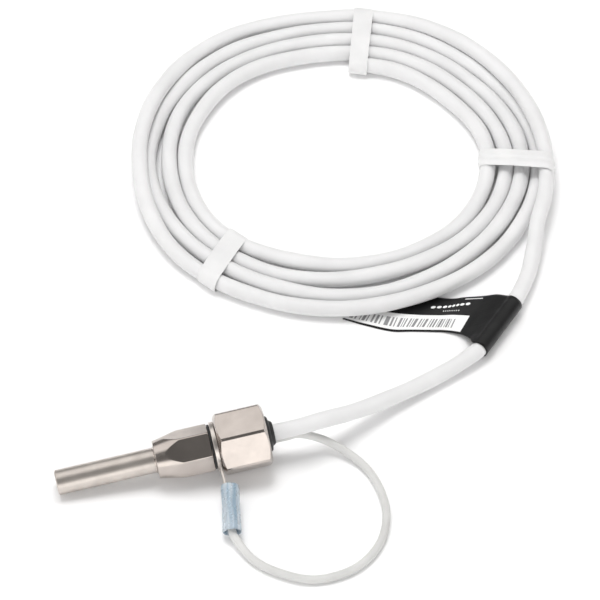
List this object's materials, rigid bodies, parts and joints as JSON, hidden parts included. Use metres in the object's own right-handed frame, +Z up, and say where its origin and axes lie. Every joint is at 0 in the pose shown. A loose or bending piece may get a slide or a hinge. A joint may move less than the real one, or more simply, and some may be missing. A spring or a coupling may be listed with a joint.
{
  "type": "flame sensor probe",
  "caption": "Straight metal flame sensor probe with a hexagonal body, a union nut, a tied coil of white lead and a bonding wire with a ring terminal.",
  "frame": {"origin": "on the floor under the middle of the probe itself (its box without the lead, the bonding wire and what is on them)", "axes": "+X along the probe from its tip towards the cable, rising 5.8 degrees, +Z up from the floor that the probe lies on"},
  "size_m": [0.2226, 0.2907, 0.0239],
  "materials": {
    "stainless": "drawn stainless tube, fine lengthwise grain",
    "nickel": "warm satin nickel plating over machined flats",
    "tinned_copper": "dull tin plating",
    "window_glass": "clear polished",
    "black_rubber": "matt black rubber",
    "dark_plastic": "matt black moulded",
    "potting": "cast resin",
    "white_ptfe": "waxy white",
    "white_jacket": "soft satin white cable jacket",
    "white_tie": "matt white flat strap",
    "black_label": "satin black film with a white panel",
    "blue_sleeve": "translucent pale blue heat-shrink",
    "red_insulation": "satin red insulation",
    "black_insulation": "satin black insulation"
  },
  "bodies": {
    "root": {"stem_tube": "stainless", "tip_window": "window_glass", "window_seal": "black_rubber", "spacer_tube": "dark_plastic", "photocell": "nickel", "photocell_holder": "dark_plastic", "potting_plug": "potting", "photocell_leg_red": "tinned_copper", "photocell_leg_black": "tinned_copper", "splice_red": "tinned_copper", "splice_black": "tinned_copper", "splice_cover_red": "white_ptfe", "splice_cover_black": "white_ptfe", "core_red": "red_insulation", "core_black": "black_insulation", "probe_body": "nickel", "sealing_washer": "black_rubber", "ring_terminal": "tinned_copper", "terminal_sleeve": "blue_sleeve", "shield_ferrule": "tinned_copper", "cable_lead": "white_jacket", "bond_wire": "white_jacket", "cable_coil": "white_jacket", "tie_back": "white_tie", "tie_right": "white_tie", "tie_left": "white_tie", "id_label": "black_label", "tail_red": "red_insulation", "tail_black": "black_insulation", "tail_ferrule_red": "tinned_copper", "tail_ferrule_black": "tinned_copper"},
    "nut_carriage": {"slip_washer": "white_ptfe", "gland_spacer": "white_ptfe", "cable_grommet": "black_rubber"},
    "nut": {"union_nut": "nickel"}
  },
  "joints": [
    {"name": "nut_travel", "type": "slide", "parent": "root", "child": "nut_carriage", "axis": [0.9948, 0, 0.1015], "range_m": [0, 0.00826]},
    {"name": "nut_turn", "type": "hinge", "parent": "nut_carriage", "child": "nut", "pos_m": [0.02966, 0, 0.01197], "axis": [0.9948, 0, 0.1015], "range_deg": [0, 2340]}
  ],
  "couplings": [
    {"joint": "nut_travel", "follows": "nut_turn", "m_per_rad": 0.00020213}
  ]
}
